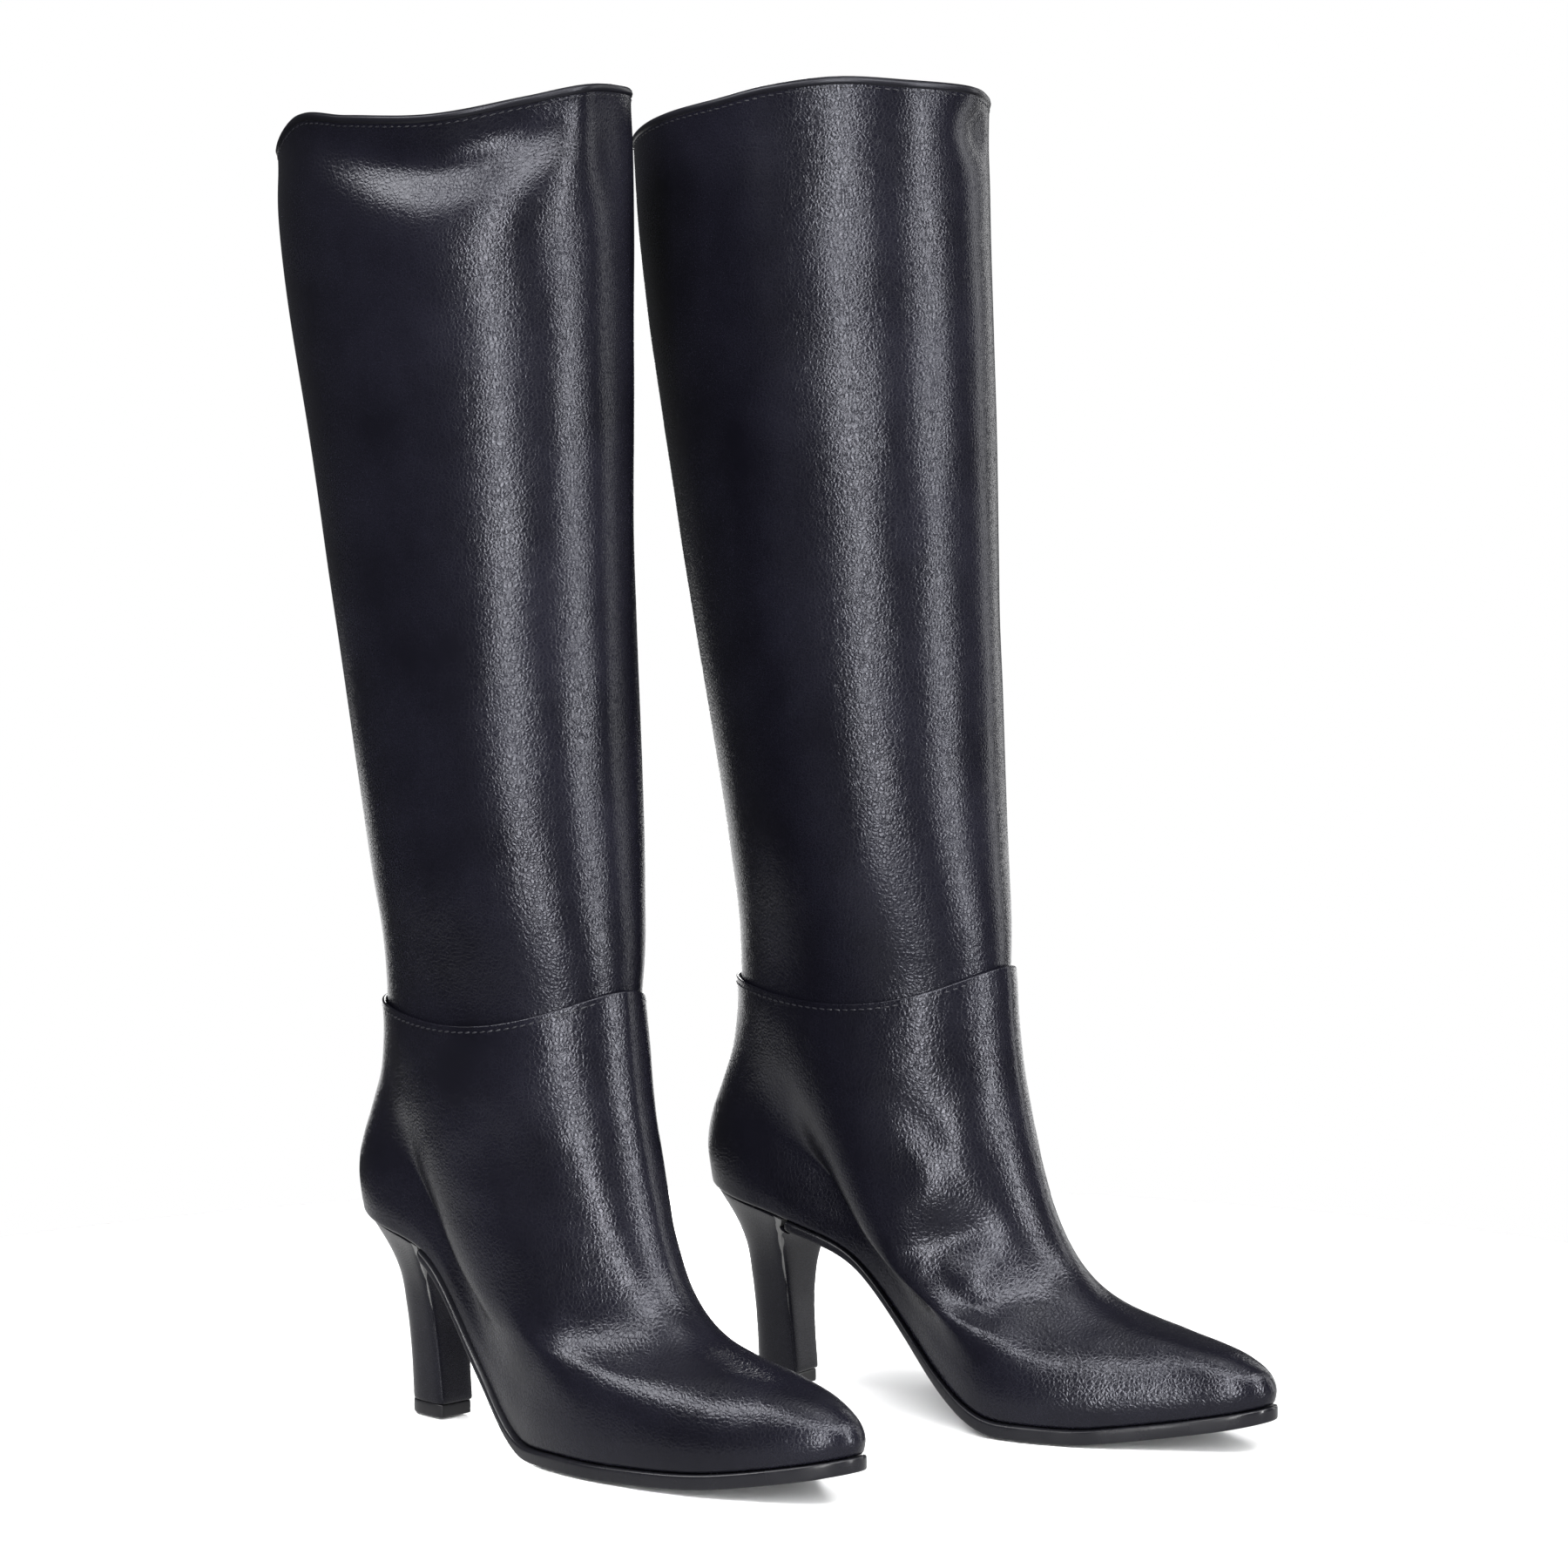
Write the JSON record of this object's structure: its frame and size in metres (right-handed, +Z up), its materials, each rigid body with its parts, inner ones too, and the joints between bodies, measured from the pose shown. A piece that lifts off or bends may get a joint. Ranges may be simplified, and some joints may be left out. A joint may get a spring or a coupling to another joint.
{
  "type": "pair of knee-high heeled boots",
  "caption": "Pair of women's knee-high pull-on leather boots with an ankle seam, almond toes, thin black soles and slim leather-covered block heels.",
  "frame": {"origin": "centre of the pair's bounding box, on the floor", "axes": "+Z up along the shafts, toes towards -Y, the right boot on the -X side"},
  "size_m": [0.2372, 0.3235, 0.4875],
  "materials": {
    "upper_leather": "smooth black leather with a fine grain and a satin finish",
    "lining_leather": "plain grey lining leather",
    "stiffener_board": "fibre board and thermoplastic stiffener sheet",
    "sole_rubber": "black sole sheet with polished edges",
    "heel_plastic": "moulded heel block",
    "cork_filler": "pressed cork",
    "spring_steel": "bare spring steel"
  },
  "bodies": {
    "right_foot": {"right_foot_upper": "upper_leather", "right_foot_lining": "lining_leather", "right_toe_puff": "stiffener_board", "right_heel_counter": "stiffener_board", "right_insole_board": "stiffener_board", "right_sock_liner": "lining_leather", "right_bottom_filler": "cork_filler", "right_shank": "spring_steel", "right_outsole": "sole_rubber", "right_heel_core": "heel_plastic", "right_heel_cover": "upper_leather", "right_heel_breast_cover": "upper_leather", "right_top_lift": "sole_rubber", "right_top_lift_pin": "spring_steel", "right_heel_screw": "spring_steel"},
    "right_shaft": {"right_shaft_lateral_panel": "upper_leather", "right_shaft_medial_panel": "upper_leather", "right_shaft_lining": "lining_leather", "right_top_facing": "lining_leather"},
    "left_foot": {"left_foot_upper": "upper_leather", "left_foot_lining": "lining_leather", "left_toe_puff": "stiffener_board", "left_heel_counter": "stiffener_board", "left_insole_board": "stiffener_board", "left_sock_liner": "lining_leather", "left_bottom_filler": "cork_filler", "left_shank": "spring_steel", "left_outsole": "sole_rubber", "left_heel_core": "heel_plastic", "left_heel_cover": "upper_leather", "left_heel_breast_cover": "upper_leather", "left_top_lift": "sole_rubber", "left_top_lift_pin": "spring_steel", "left_heel_screw": "spring_steel"},
    "left_shaft": {"left_shaft_lateral_panel": "upper_leather", "left_shaft_medial_panel": "upper_leather", "left_shaft_lining": "lining_leather", "left_top_facing": "lining_leather"}
  },
  "joints": [
    {"name": "right_shaft_flex", "type": "hinge", "parent": "right_foot", "child": "right_shaft", "pos_m": [-0.0656, 0.0606, 0.158], "axis": [1, 0, 0], "range_deg": [-5, 6], "stiffness_Nm_per_rad": 3.5},
    {"name": "left_boot_lift", "type": "slide", "parent": "right_foot", "child": "left_foot", "axis": [0, 0, 1], "range_m": [0, 0.3]},
    {"name": "left_shaft_flex", "type": "hinge", "parent": "left_foot", "child": "left_shaft", "pos_m": [0.06821, 0.00679, 0.158], "axis": [0.9877, 0.1564, 0], "range_deg": [-5, 6], "stiffness_Nm_per_rad": 3.5}
  ]
}
